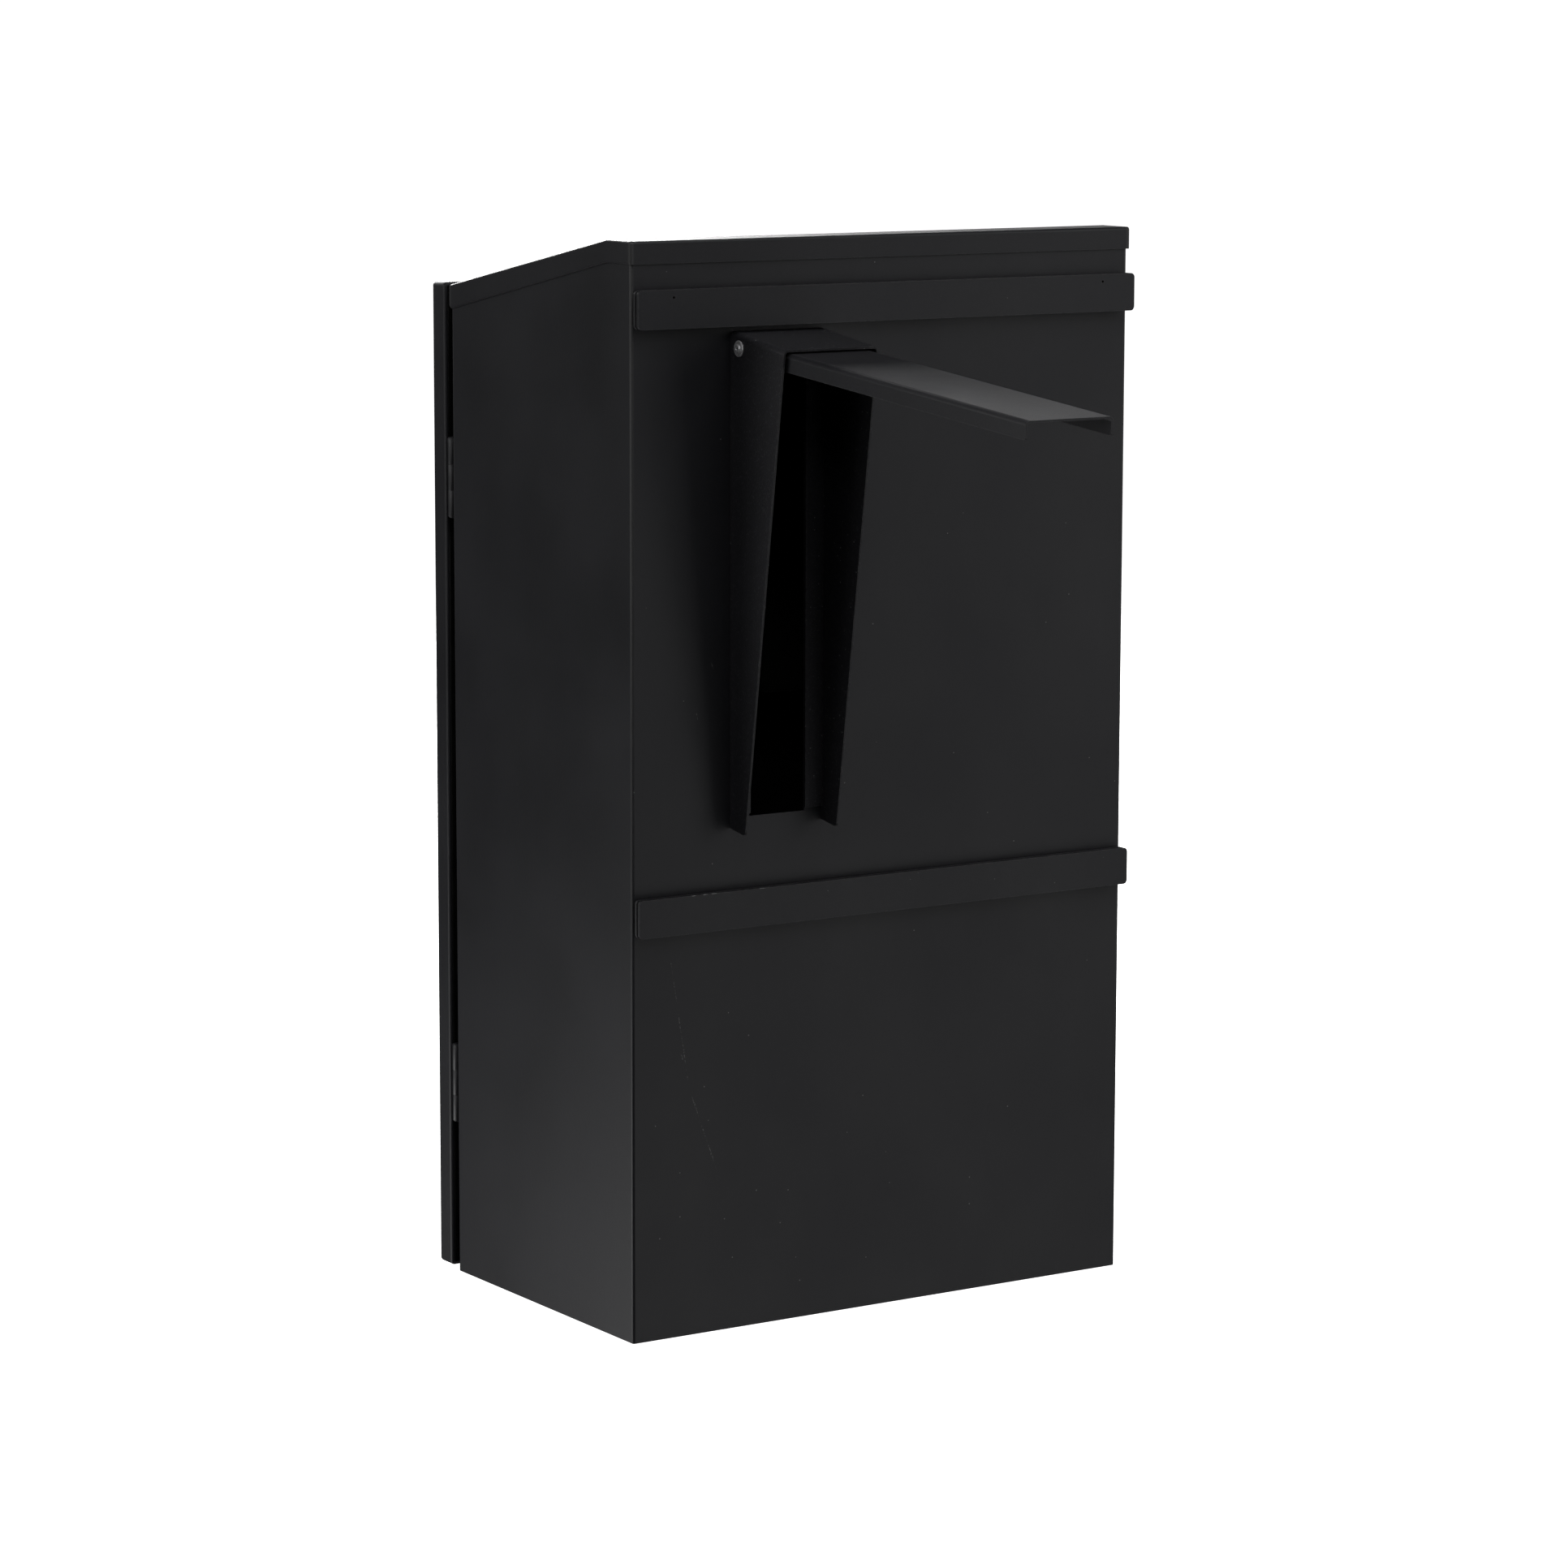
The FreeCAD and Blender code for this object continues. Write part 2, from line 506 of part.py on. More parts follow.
def arm_pivots():
    """Blind rivet and washer on each side of the arm, which turns on the rivets' shanks."""
    gap = "(bracket_width / 2 - bracket_sheet - arm_width / 2)"
    stack = f"(bracket_sheet + {gap} + arm_sheet + washer_gap)"
    tail = f"({stack} + rivet_tail_length)"
    rim = "rivet_ring_height - rivet_ring_chamfer"
    profile = [("0", f"-{tail}"), ("rivet_tail - rivet_tail_chamfer", f"-{tail}"),
               ("rivet_tail", f"-{tail} + rivet_tail_chamfer"), ("rivet_tail", f"-{stack}"),
               ("pivot_radius", f"-{stack}"), ("pivot_radius", "0"), ("rivet_flange", "0"),
               ("rivet_flange", "rivet_flange_sheet / 2"),
               ("rivet_flange - rivet_flange_sheet / 2", "rivet_flange_sheet"),
               ("rivet_ring + rivet_ring_chamfer", "rivet_flange_sheet"), ("rivet_ring", rim),
               ("rivet_ring - rivet_ring_chamfer", "rivet_ring_height"),
               ("mandrel_radius + mandrel_chamfer", "rivet_ring_height"),
               ("mandrel_radius", "rivet_ring_height - mandrel_chamfer"),
               ("mandrel_radius", "rivet_ring_height - mandrel_depth"),
               ("0", "rivet_ring_height - mandrel_depth")]
    right = "arm_centre + bracket_width / 2"
    left = "arm_centre - bracket_width / 2"
    group("arm_pivot_rivets", [
        revolve("pivot_rivet_1", "x", (right, PIVOT_Y, "pivot_up"), profile),
        revolve("pivot_rivet_2", "-x", (left, PIVOT_Y, "pivot_up"), profile)])
    ring = rectangle("pivot_radius + pivot_fit", "washer_radius", "0", f"{gap} - washer_gap")
    group("arm_pivot_washers", [
        revolve("pivot_washer_1", "-x", (f"{right} - bracket_sheet", PIVOT_Y, "pivot_up"), ring),
        revolve("pivot_washer_2", "x", (f"{left} + bracket_sheet", PIVOT_Y, "pivot_up"), ring)])


# ---------------------------------------------------------------------------------------------------
# Door
# ---------------------------------------------------------------------------------------------------
def door_panel():
    """Deep tray with its edges turned in at the rear, and the openings for the flap and the lock."""
    body = new_body("door_panel")
    box(body, "add", "-door_half", "door_half", DOOR_FRONT, DOOR_REAR, "door_low", "door_high")
    round_edges(body, "door_corner", lambda start, end: along_y(start, end))
    for level in (DOOR_FRONT, DOOR_REAR):
        round_edges(body, "door_bend",
                    lambda start, end: near(start.y, level) and near(end.y, level))
    inside = "(door_half - skin)"
    extrude(body, "cut", "y", DOOR_SKIN_REAR, LINER_REAR,
            rectangle(f"-{inside}", inside, "door_low + skin", "door_high - skin"))
    clear = "(door_half - door_lip)"
    extrude(body, "cut", "y", LINER_REAR, DOOR_REAR,
            rectangle(f"-{clear}", clear, "door_low + door_lip", "door_high - door_lip"))
    extrude(body, "cut", "y", DOOR_FRONT, DOOR_SKIN_REAR,
            rectangle("-drop_half", "drop_half", "drop_low", "drop_high"))
    holes(body, "y", DOOR_FRONT, DOOR_SKIN_REAR, [("-lock_x", "lock_z")], "lock_radius")
    holes(body, "y", LINER_REAR, DOOR_REAR, hinge_rivets(), "rivet_radius")


def door_liner():
    """Flat inner plate behind the door's turned-in edges."""
    body = new_body("door_liner")
    half = "door_half - skin - liner_clear"
    extrude(body, "add", "y", LINER_FRONT, LINER_REAR,
            rectangle(f"-({half})", half, "door_low + skin + liner_clear",
                      "door_high - skin - liner_clear"))
    throat = "drop_half + throat_sheet"
    extrude(body, "cut", "y", LINER_FRONT, LINER_REAR,
            rectangle(f"-({throat})", throat, "drop_low - throat_sheet", "drop_high + throat_sheet"))
    holes(body, "y", LINER_FRONT, LINER_REAR, [("-lock_x", "lock_z")],
          "lock_radius + hole_clear")
    holes(body, "y", LINER_FRONT, LINER_REAR, hinge_rivets(), "rivet_head_radius + hole_clear")


def flap_throat():
    """Square tunnel through the door's thickness, with a lip that the flap closes on."""
    body = new_body("flap_throat")
    outer = "drop_half + throat_sheet"
    lip = "drop_half - throat_lip"
    extrude(body, "add", "y", DOOR_SKIN_REAR, DOOR_REAR,
            rectangle(f"-({outer})", outer, "drop_low - throat_sheet", "drop_high + throat_sheet"))
    extrude(body, "cut", "y", DOOR_SKIN_REAR, f"{DOOR_REAR} - throat_sheet",
            rectangle("-drop_half", "drop_half", "drop_low", "drop_high"))
    extrude(body, "cut", "y", f"{DOOR_REAR} - throat_sheet", DOOR_REAR,
            rectangle(f"-({lip})", lip, "drop_low + throat_lip", "drop_high - throat_lip"))
    for x_low, x_high in ((f"-({outer})", "-drop_half"), ("drop_half", outer)):
        holes(body, "x", x_low, x_high, [(ROD_Y, "rod_height")], "rod_radius")


def drop_flap():
    """Flap panel with its sides and bottom turned in, hung on the rod by two ears."""
    body = new_body("drop_flap")
    half = "(drop_half - flap_gap)"
    rear = f"{DOOR_FRONT} + flap_return"
    low = "drop_low + flap_gap"
    high = "drop_high - flap_top_gap"
    extrude(body, "add", "y", DOOR_FRONT, rear, rectangle(f"-{half}", half, low, high))
    round_edges(body, "flap_corner", lambda start, end: along_y(start, end) and near(start.z, low))
    extrude(body, "cut", "y", f"{DOOR_FRONT} + throat_sheet", rear,
            rectangle(f"-{half} + throat_sheet", f"{half} - throat_sheet",
                      f"{low} + throat_sheet", high))
    for x_low, x_high in ((f"-{half}", f"-{half} + throat_sheet"), (f"{half} - throat_sheet", half)):
        holes(body, "x", x_low, x_high, [(ROD_Y, "rod_height")], "rod_radius + rod_fit")


def flap_rod():
    """Hinge rod of the flap, held in the throat's side walls, with a clip on each end."""
    reach = "drop_half + throat_sheet + rod_past"
    revolve("flap_rod", "x", (f"-({reach})", ROD_Y, "rod_height"),
            rectangle("0", "rod_radius", "0", f"2 * ({reach})"))
    ends = [(f"-(drop_half + throat_sheet) - clip_thickness", ROD_Y, "rod_height"),
            ("drop_half + throat_sheet", ROD_Y, "rod_height")]
    turned_group("rod_clips", "x", ends,
                 rectangle("rod_radius", "clip_radius", "0", "clip_thickness"))


def flap_pull():
    """Bent strip on the flap to lift it by."""
    body = new_body("flap_pull")
    face = DOOR_FRONT
    extrude(body, "add", "x", "-pull_half", "pull_half",
            [(face, "pull_low"), (face, "pull_low + pull_leg"),
             (f"{face} - pull_sheet", "pull_low + pull_leg"),
             (f"{face} - pull_sheet", "pull_low + pull_sheet"),
             (f"{face} - pull_reach + pull_sheet", "pull_low + pull_sheet"),
             (f"{face} - pull_reach + pull_sheet", "pull_low + pull_lip"),
             (f"{face} - pull_reach", "pull_low + pull_lip"),
             (f"{face} - pull_reach", "pull_low")])
    round_edges(body, "pull_sheet",
                lambda start, end: across(start, end) and near(start.z, "pull_low")
                and near(start.y, f"{face} - pull_reach"))
    rivets = [(place, f"{DOOR_FRONT} - pull_sheet", "pull_low + pull_rivet_up")
              for place in ("-pull_half + pull_rivet_in", "0", "pull_half - pull_rivet_in")]
    turned_group("pull_rivets", "-y", rivets, rivet_head())


def rivet_head():
    """Low domed rivet head standing on the face at level 0."""
    return [("0", "0"), ("rivet_head_radius", "0"), ("0.9 * rivet_head_radius", "rivet_head / 2"),
            ("rivet_head_radius / 2", "rivet_head"), ("0", "rivet_head")]


def flap_buffers():
    """Rubber stops on the throat's lip, behind the flap's side returns."""
    side = "drop_half - throat_lip / 2"
    length = f"({DOOR_REAR} - throat_sheet) - ({DOOR_FRONT} + flap_return) - buffer_clear"
    places = [(f"{sign}({side})", f"{DOOR_REAR} - throat_sheet", level)
              for sign in ("", "-")
              for level in ("drop_low + buffer_low", "drop_high - buffer_high")]
    turned_group("flap_buffers", "-y", places,
                 [("0", "0"), ("buffer_radius - buffer_base_step", "0"),
                  ("buffer_radius - buffer_tip_step", length), ("0", length)])


def chute():
    """Sloping plate behind the opening that lets a parcel slide in and keeps a hand out."""
    body = new_body("chute_plate")
    root = LINER_REAR
    tip = f"{root} + chute_reach"
    extrude(body, "add", "x", "-chute_half", "chute_half",
            [(root, "chute_top - chute_flange"), (f"{root} + chute_sheet", "chute_top - chute_flange"),
             (f"{root} + chute_sheet", "chute_top - 2 * chute_sheet"),
             (tip, "chute_top - chute_drop - chute_sheet"), (tip, "chute_top - chute_drop"),
             (root, "chute_top")])
    cheeks = (("-chute_half", "-chute_half + chute_sheet"),
              ("chute_half - chute_sheet", "chute_half"))
    for x_low, x_high in cheeks:
        extrude(body, "add", "x", x_low, x_high,
                [(root, "chute_top - chute_flange"), (f"{root} + chute_root", "chute_top - chute_flange"),
                 (tip, "chute_top - chute_drop - chute_sheet - chute_root"),
                 (tip, "chute_top - chute_drop"),
                 (root, "chute_top")])


# ---------------------------------------------------------------------------------------------------
# Hinges
# ---------------------------------------------------------------------------------------------------
def hinge(prefix, centre):
    """Butt hinge in the door gap: outer knuckles on the body leaf, middle one on the door leaf."""
    low = f"({centre} - hinge_length / 2)"
    high = f"({centre} + hinge_length / 2)"
    third = "(hinge_length / 3)"
    first = f"{low} + {third}"
    second = f"{low} + 2 * {third}"
    shy = "hinge_x - knuckle_radius - leaf_clear"
    body_faces = (f"{FRONT} - leaf_sheet", FRONT)
    door_faces = (DOOR_REAR, f"{DOOR_REAR} + leaf_sheet")
    ends = ((low, first), (second, high))
    middle = ((f"{first} + knuckle_gap", f"{second} - knuckle_gap"),)
    for leaf, faces, knuckles in (("body_leaf", body_faces, ends), ("door_leaf", door_faces, middle)):
        body = new_body(f"{prefix}_hinge_{leaf}")
        extrude(body, "add", "y", faces[0], faces[1], rectangle("leaf_far", shy, low, high))
        for start, end in knuckles:
            extrude(body, "add", "y", faces[0], faces[1], rectangle(shy, "hinge_x", start, end))
            extrude(body, "add", "z", start, end, centres=[("hinge_x", HINGE_Y)],
                    radius="knuckle_radius")
        holes(body, "z", low, high, [("hinge_x", HINGE_Y)], "pin_radius + pin_fit")
        holes(body, "y", faces[0], faces[1],
              [("rivet_x", f"{centre} - rivet_step"), ("rivet_x", f"{centre} + rivet_step")],
              "rivet_radius")
        round_edges(body, "leaf_corner",
                    lambda start, end: along_y(start, end) and near(start.x, "leaf_far"))
    head_radius = "knuckle_radius - pin_head_shy"
    top = "hinge_length + pin_play"
    revolve(f"{prefix}_hinge_pin", "z", ("hinge_x", HINGE_Y, f"{low} - pin_play"),
            [("0", "pin_play - pin_head"), ("pin_tip_radius", "pin_play - pin_head"),
             (head_radius, "pin_play - pin_head_rim"), (head_radius, "pin_play"),
             ("pin_radius", "pin_play"), ("pin_radius", top), (head_radius, top),
             (head_radius, f"{top} + pin_head_rim"), ("pin_tip_radius", f"{top} + pin_head"),
             ("0", f"{top} + pin_head")])


def hinge_fasteners():
    """Rivets through the leaves: one group in the shell's lip, one in the door's."""
    shank = "leaf_sheet + skin"
    tail = f"-({shank}) - rivet_tail_sheet"
    flare = "rivet_radius + rivet_tail_flare"
    profile = [("0", tail), (flare, tail), (flare, f"-({shank})"), ("rivet_radius", f"-({shank})"),
               ("rivet_radius", "0")] + rivet_head()[1:]
    for name, axis, level in (("body_hinge_rivets", "-y", f"{FRONT} - leaf_sheet"),
                              ("door_hinge_rivets", "y", f"{DOOR_REAR} + leaf_sheet")):
        turned_group(name, axis, [(x_place, level, z_place) for x_place, z_place in hinge_rivets()],
                     profile)


# ---------------------------------------------------------------------------------------------------
# Lock
# ---------------------------------------------------------------------------------------------------
def lock():
    """Cam lock: housing with rim, ring nut, turning plug with keyway, cam and cam screw."""
    centre = ("-lock_x", DOOR_FRONT, "lock_z")
    revolve("lock_housing", "y", centre,
            [("plug_radius + plug_fit", "-lock_rim"), ("lock_rim_radius - lock_chamfer", "-lock_rim"),
             ("lock_rim_radius", "-lock_rim + lock_chamfer"), ("lock_rim_radius", "0"),
             ("lock_radius", "0"),
             ("lock_radius", "lock_back"), ("plug_radius + plug_fit", "lock_back")])
    nut = new_body("lock_nut")
    nut_corner = "lock_nut_flats / 2 / cos(30)"
    corners = [(f"-lock_x + {nut_corner} * cos({60 * turn})", f"lock_z + {nut_corner} * sin({60 * turn})")
               for turn in range(6)]
    extrude(nut, "add", "y", DOOR_SKIN_REAR, f"{DOOR_SKIN_REAR} + lock_nut", corners)
    holes(nut, "y", DOOR_SKIN_REAR, f"{DOOR_SKIN_REAR} + lock_nut", [("-lock_x", "lock_z")],
          "lock_radius")
    tail = f"(({CAM_FRONT}) - ({DOOR_FRONT}))"
    plug = revolve("lock_plug", "y", centre,
                   [("0", "-lock_rim + plug_shy"), ("plug_radius", "-lock_rim + plug_shy"),
                    ("plug_radius", tail), ("cam_screw_radius", tail),
                    ("cam_screw_radius", f"{tail} - plug_tap"), ("0", f"{tail} - plug_tap")])
    extrude(plug, "cut", "z", "-lock_rim", "-lock_rim + keyway_depth",
            rectangle("-keyway_half", "keyway_half", "-plug_radius + keyway_in",
                      "plug_radius - keyway_in"))
    cam = new_body("lock_cam")
    extrude(cam, "add", "y", CAM_FRONT, f"{CAM_FRONT} + cam_sheet",
            rectangle("-lock_x - cam_half", "-lock_x + cam_half", "lock_z - cam_length",
                      "lock_z + cam_half"))
    round_edges(cam, "cam_head_round",
                lambda start, end: along_y(start, end) and near(start.z, "lock_z + cam_half"))
    round_edges(cam, "cam_corner",
                lambda start, end: along_y(start, end) and near(start.z, "lock_z - cam_length"))
    holes(cam, "y", CAM_FRONT, f"{CAM_FRONT} + cam_sheet", [("-lock_x", "lock_z")],
          "cam_screw_radius")
    revolve("cam_screw", "y", ("-lock_x", f"{CAM_FRONT} + cam_sheet", "lock_z"),
            [("0", "-cam_sheet - cam_screw_length"), ("cam_screw_radius", "-cam_sheet - cam_screw_length"),
             ("cam_screw_radius", "0"), ("cam_screw_head", "0"),
             ("cam_screw_head", "0.5 * cam_screw_height"),
             ("0.6 * cam_screw_head", "cam_screw_height"), ("0", "cam_screw_height")])


# ---------------------------------------------------------------------------------------------------
# Build, check and write
# ---------------------------------------------------------------------------------------------------
body_shell()
bottom_pan()
front_frame()
door_seal()
roof_cap()
floor_mat()
rail("upper", "upper_rail")
rail("lower", "lower_rail")
arm_bracket()
swing_arm()
arm_pivots()
door_panel()
door_liner()
flap_throat()
drop_flap()
flap_rod()
flap_pull()
flap_buffers()
chute()
hinge("upper", "upper_hinge")
hinge("lower", "lower_hinge")
hinge_fasteners()
lock()
doc.recompute()

for item in doc.Objects:
    if "Invalid" in item.State or "Error" in item.State:
        raise RuntimeError(f"{item.Name} failed: {item.State}")
for node, item in NODES.items():
    if item.Shape.isNull() or not item.Shape.isValid():
        raise RuntimeError(f"{node} has no valid shape")
    print(f"{node:28s} solids {len(item.Shape.Solids)}  volume {item.Shape.Volume:10.1f} mm3")
    item.Shape.exportStep(f"parts/{node}.step")
print(len(NODES), "nodes")
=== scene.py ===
"""Looks of the wall-hung steel parcel drop box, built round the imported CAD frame. Metres, +Z up."""

import json
import math

import bmesh
import bpy
from mathutils import Matrix, Vector


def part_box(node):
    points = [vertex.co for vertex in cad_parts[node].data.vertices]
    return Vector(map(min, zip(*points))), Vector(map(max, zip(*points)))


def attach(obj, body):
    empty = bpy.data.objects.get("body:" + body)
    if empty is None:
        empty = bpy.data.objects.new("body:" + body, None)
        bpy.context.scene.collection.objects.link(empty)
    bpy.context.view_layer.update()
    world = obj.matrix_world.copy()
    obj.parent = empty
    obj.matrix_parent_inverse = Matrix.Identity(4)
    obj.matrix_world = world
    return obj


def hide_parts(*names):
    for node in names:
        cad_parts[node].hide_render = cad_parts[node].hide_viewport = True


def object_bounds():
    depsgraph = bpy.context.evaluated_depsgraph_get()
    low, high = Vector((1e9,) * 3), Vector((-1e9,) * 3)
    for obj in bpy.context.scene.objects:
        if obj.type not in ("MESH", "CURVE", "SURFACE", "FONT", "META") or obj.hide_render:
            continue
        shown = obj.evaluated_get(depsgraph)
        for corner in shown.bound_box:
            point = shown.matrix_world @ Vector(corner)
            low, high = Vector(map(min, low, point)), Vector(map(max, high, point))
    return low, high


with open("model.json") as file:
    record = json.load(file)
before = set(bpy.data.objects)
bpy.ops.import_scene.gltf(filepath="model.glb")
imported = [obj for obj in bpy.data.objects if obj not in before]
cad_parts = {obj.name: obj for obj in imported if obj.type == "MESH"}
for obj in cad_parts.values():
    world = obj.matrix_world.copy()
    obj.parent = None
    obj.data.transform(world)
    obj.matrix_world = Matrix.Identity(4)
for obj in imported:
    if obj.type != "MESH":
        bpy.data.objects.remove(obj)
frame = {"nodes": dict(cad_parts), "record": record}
cad_low, cad_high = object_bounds()
NODES = frame["nodes"]
MM = 0.001

# ---------------------------------------------------------------------------------------------------
# Places taken from the frame
# ---------------------------------------------------------------------------------------------------
SHELL_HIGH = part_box("body_shell")[1]
BACK = SHELL_HIGH.y
BRACKET_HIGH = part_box("arm_bracket")[1]
ARM_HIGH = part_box("swing_arm")[1]
DOOR_LOW, DOOR_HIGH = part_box("door_panel")
SEAL_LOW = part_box("door_seal")[0]
LOWER_RAIL_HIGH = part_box("lower_rail_outer_strap")[1]

# The raised arm falls away from the box at this slope, from just under its highest point.
ARM_SLOPE = math.tan(math.radians(5.2))
ARM_TOP_AT_PIVOT = ARM_HIGH.z - 2 * MM
PIVOT_OUT = 10


# ---------------------------------------------------------------------------------------------------
# Material building blocks
# ---------------------------------------------------------------------------------------------------
# A noise texture's values mostly lie between these two.
NOISE_LOW = 0.3
NOISE_HIGH = 0.7
# Cosine between the rounded and the true normal: on a flat face, and on a full edge.
FLAT_COSINE = 0.985
EDGE_COSINE = 0.80
# Ambient occlusion in the open, and in a tight corner.
OPEN_SKY = 0.62
TIGHT_SKY = 0.25


class Nodes:
    """Short ways to add shader nodes to one material."""

    def __init__(self, name):
        self.material = bpy.data.materials.new(name)
        self.material.use_nodes = True
        self.tree = self.material.node_tree
        self.tree.nodes.clear()
        self.output = self.add("ShaderNodeOutputMaterial")
        self.shader = self.add("ShaderNodeBsdfPrincipled")
        self.tree.links.new(self.shader.outputs["BSDF"], self.output.inputs["Surface"])
        self.place = self.add("ShaderNodeTexCoord").outputs["Object"]

    def add(self, kind, **settings):
        node = self.tree.nodes.new(kind)
        for key, setting in settings.items():
            setattr(node, key, setting)
        return node

    def set(self, socket, source):
        """Link a socket, or set its constant."""
        if isinstance(source, bpy.types.NodeSocket):
            self.tree.links.new(source, socket)
        else:
            socket.default_value = source

    def math(self, operation, first, second=0.0, third=None, clamp=False):
        node = self.add("ShaderNodeMath", operation=operation, use_clamp=clamp)
        self.set(node.inputs[0], first)
        self.set(node.inputs[1], second)
        if third is not None:
            self.set(node.inputs[2], third)
        return node.outputs[0]

    def vector(self, operation, first, second=(0.0, 0.0, 0.0), out=0):
        node = self.add("ShaderNodeVectorMath", operation=operation)
        self.set(node.inputs[0], first)
        self.set(node.inputs[1], second)
        return node.outputs[out]

    def stretch(self, scale):
        node = self.add("ShaderNodeMapping")
        self.set(node.inputs["Vector"], self.place)
        node.inputs["Scale"].default_value = scale
        return node.outputs["Vector"]

    def noise(self, size, detail=2.0, rough=0.5, place=None, distortion=0.0):
        """Noise whose features are about size metres across."""
        node = self.add("ShaderNodeTexNoise")
        self.set(node.inputs["Vector"], place or self.place)
        node.inputs["Scale"].default_value = 1.0 / size
        node.inputs["Detail"].default_value = detail
        node.inputs["Roughness"].default_value = rough
        node.inputs["Distortion"].default_value = distortion
        return node.outputs["Fac"]

    def cells(self, size, out="Distance", feature="F1"):
        node = self.add("ShaderNodeTexVoronoi", feature=feature)
        self.set(node.inputs["Vector"], self.place)
        node.inputs["Scale"].default_value = 1.0 / size
        return node.outputs[out]

    def range(self, source, low, high, new_low=0.0, new_high=1.0, smooth=False):
        node = self.add("ShaderNodeMapRange")
        node.interpolation_type = "SMOOTHSTEP" if smooth else "LINEAR"
        self.set(node.inputs["Value"], source)
        for label, number in (("From Min", low), ("From Max", high),
                              ("To Min", new_low), ("To Max", new_high)):
            self.set(node.inputs[label], number)
        return node.outputs["Result"]

    def spread(self, noise, new_low=0.0, new_high=1.0):
        """Stretch the usual values of a noise over a range."""
        return self.range(noise, NOISE_LOW, NOISE_HIGH, new_low, new_high)

    def blend(self, share, first, second):
        """Mix of two colours."""
        node = self.add("ShaderNodeMix", data_type="RGBA")
        self.set(node.inputs[0], share)
        self.set(node.inputs[6], first)
        self.set(node.inputs[7], second)
        return node.outputs[2]

    def bump(self, height, depth, strength=1.0, normal=None):
        node = self.add("ShaderNodeBump")
        self.set(node.inputs["Height"], height)
        node.inputs["Distance"].default_value = depth
        node.inputs["Strength"].default_value = strength
        if normal is not None:
            self.set(node.inputs["Normal"], normal)
        return node.outputs["Normal"]

    def edges(self, radius, samples=4):
        """1 on convex and concave edges, 0 on flat faces."""
        bevel = self.add("ShaderNodeBevel", samples=samples)
        bevel.inputs["Radius"].default_value = radius
        flat = self.add("ShaderNodeNewGeometry").outputs["Normal"]
        facing = self.vector("DOT_PRODUCT", bevel.outputs["Normal"], flat, out=1)
        return self.range(facing, FLAT_COSINE, EDGE_COSINE, 0.0, 1.0)

    def creases(self, reach, samples=6):
        """1 in tight inner corners and narrow gaps, 0 in the open."""
        shade = self.add("ShaderNodeAmbientOcclusion", samples=samples)
        shade.inputs["Distance"].default_value = reach
        return self.range(shade.outputs["AO"], OPEN_SKY, TIGHT_SKY, 0.0, 1.0)

    def upright_corners(self, x, y, radius, low, high):
        """1 along the four upright corners at plus and minus x and y, fading out below a height."""
        parts = self.add("ShaderNodeSeparateXYZ")
        self.set(parts.inputs[0], self.place)
        aside = self.math("SUBTRACT", self.math("ABSOLUTE", parts.outputs[0]), x)
        deep = self.math("SUBTRACT", self.math("ABSOLUTE", parts.outputs[1]), y)
        away = self.math("SQRT", self.math("ADD", self.math("MULTIPLY", aside, aside),
                                           self.math("MULTIPLY", deep, deep)))
        line = self.range(away, radius, 0.45 * radius, smooth=True)
        return self.math("MULTIPLY", line, self.range(parts.outputs[2], low, high, smooth=True))

    def toward(self, axis, start, end):
        """0 before a place along an axis, 1 after it."""
        parts = self.add("ShaderNodeSeparateXYZ")
        self.set(parts.inputs[0], self.place)
        return self.range(parts.outputs[axis], start, end, smooth=True)

    def near_points(self, points, radius):
        """1 inside a ragged blob round any of the points."""
        ragged = self.spread(self.noise(radius * 0.6, 3.0), -0.7 * radius, 0.7 * radius)
        found = None
        for point in points:
            away = self.vector("DISTANCE", self.place, tuple(point), out=1)
            inside = self.math("LESS_THAN", self.math("ADD", away, ragged), radius)
            found = inside if found is None else self.math("MAXIMUM", found, inside)
        return found

    def strokes(self, segments, half_width):
        """1 on thin, broken, slightly wavy strokes from start to end."""
        wobble = self.spread(self.noise(9 * MM, 2.0), -0.5 * MM, 0.5 * MM)
        broken = self.range(self.noise(1.6 * MM, 3.0), 0.47, 0.56)
        found = None
        for start, end in segments:
            start, end = Vector(start), Vector(end)
            line = end - start
            offset = self.vector("SUBTRACT", self.place, tuple(start))
            share = self.math("DIVIDE", self.vector("DOT_PRODUCT", offset, tuple(line), out=1),
                              line.length_squared, clamp=True)
            foot = self.add("ShaderNodeVectorMath", operation="SCALE")
            foot.inputs[0].default_value = tuple(line)
            self.set(foot.inputs["Scale"], share)
            away = self.vector("DISTANCE", offset, foot.outputs[0], out=1)
            away = self.math("ABSOLUTE", self.math("ADD", away, wobble))
            inside = self.range(away, half_width, 0.3 * half_width)
            found = inside if found is None else self.math("MAXIMUM", found, inside)
        return self.math("MULTIPLY", found, broken)


def grey(level, blue=1.0):
    """A neutral colour, or a slightly blue one."""
    return (level, level, level * blue, 1.0)


CLOUD_SIZE = 110 * MM
STREAK_SIZE = 30 * MM
STREAK_STRETCH = (1.0, 1.0, 0.12)
PEEL_SIZE = 2.6 * MM
SPECK_PITCH = 3.2 * MM
SPECK_TONE = 0.16
# Reach of the edge mask, and the pale grey that paints both edge wear and edge highlights.
EDGE_RADIUS = 0.9 * MM
EDGE_WEAR_AND_HIGHLIGHT_TONE = 0.11
CHIP_RADIUS = 1.6 * MM
CHIP_TONE = 0.30
# Painted highlight along the box's upright corners: line width, heights over which it fades in, and its pale
# tone.
CORNER_LINE = 2.6 * MM
CORNER_FADE = (0.18, 0.55)
CORNER_HIGHLIGHT_TONE = 0.042
SCUFF_HALF_WIDTH = 0.35 * MM
SCUFF_TONE = 0.09
CREASE_REACH = 5 * MM
CREASE_SHADE = 0.85
CREASE_ROUGHNESS = 0.95
CREASE_TONE = 0.15
SPECK_STRENGTH = 0.6
SCUFF_STRENGTH = 0.7
TIP_LIGHT_STRENGTH = 0.5


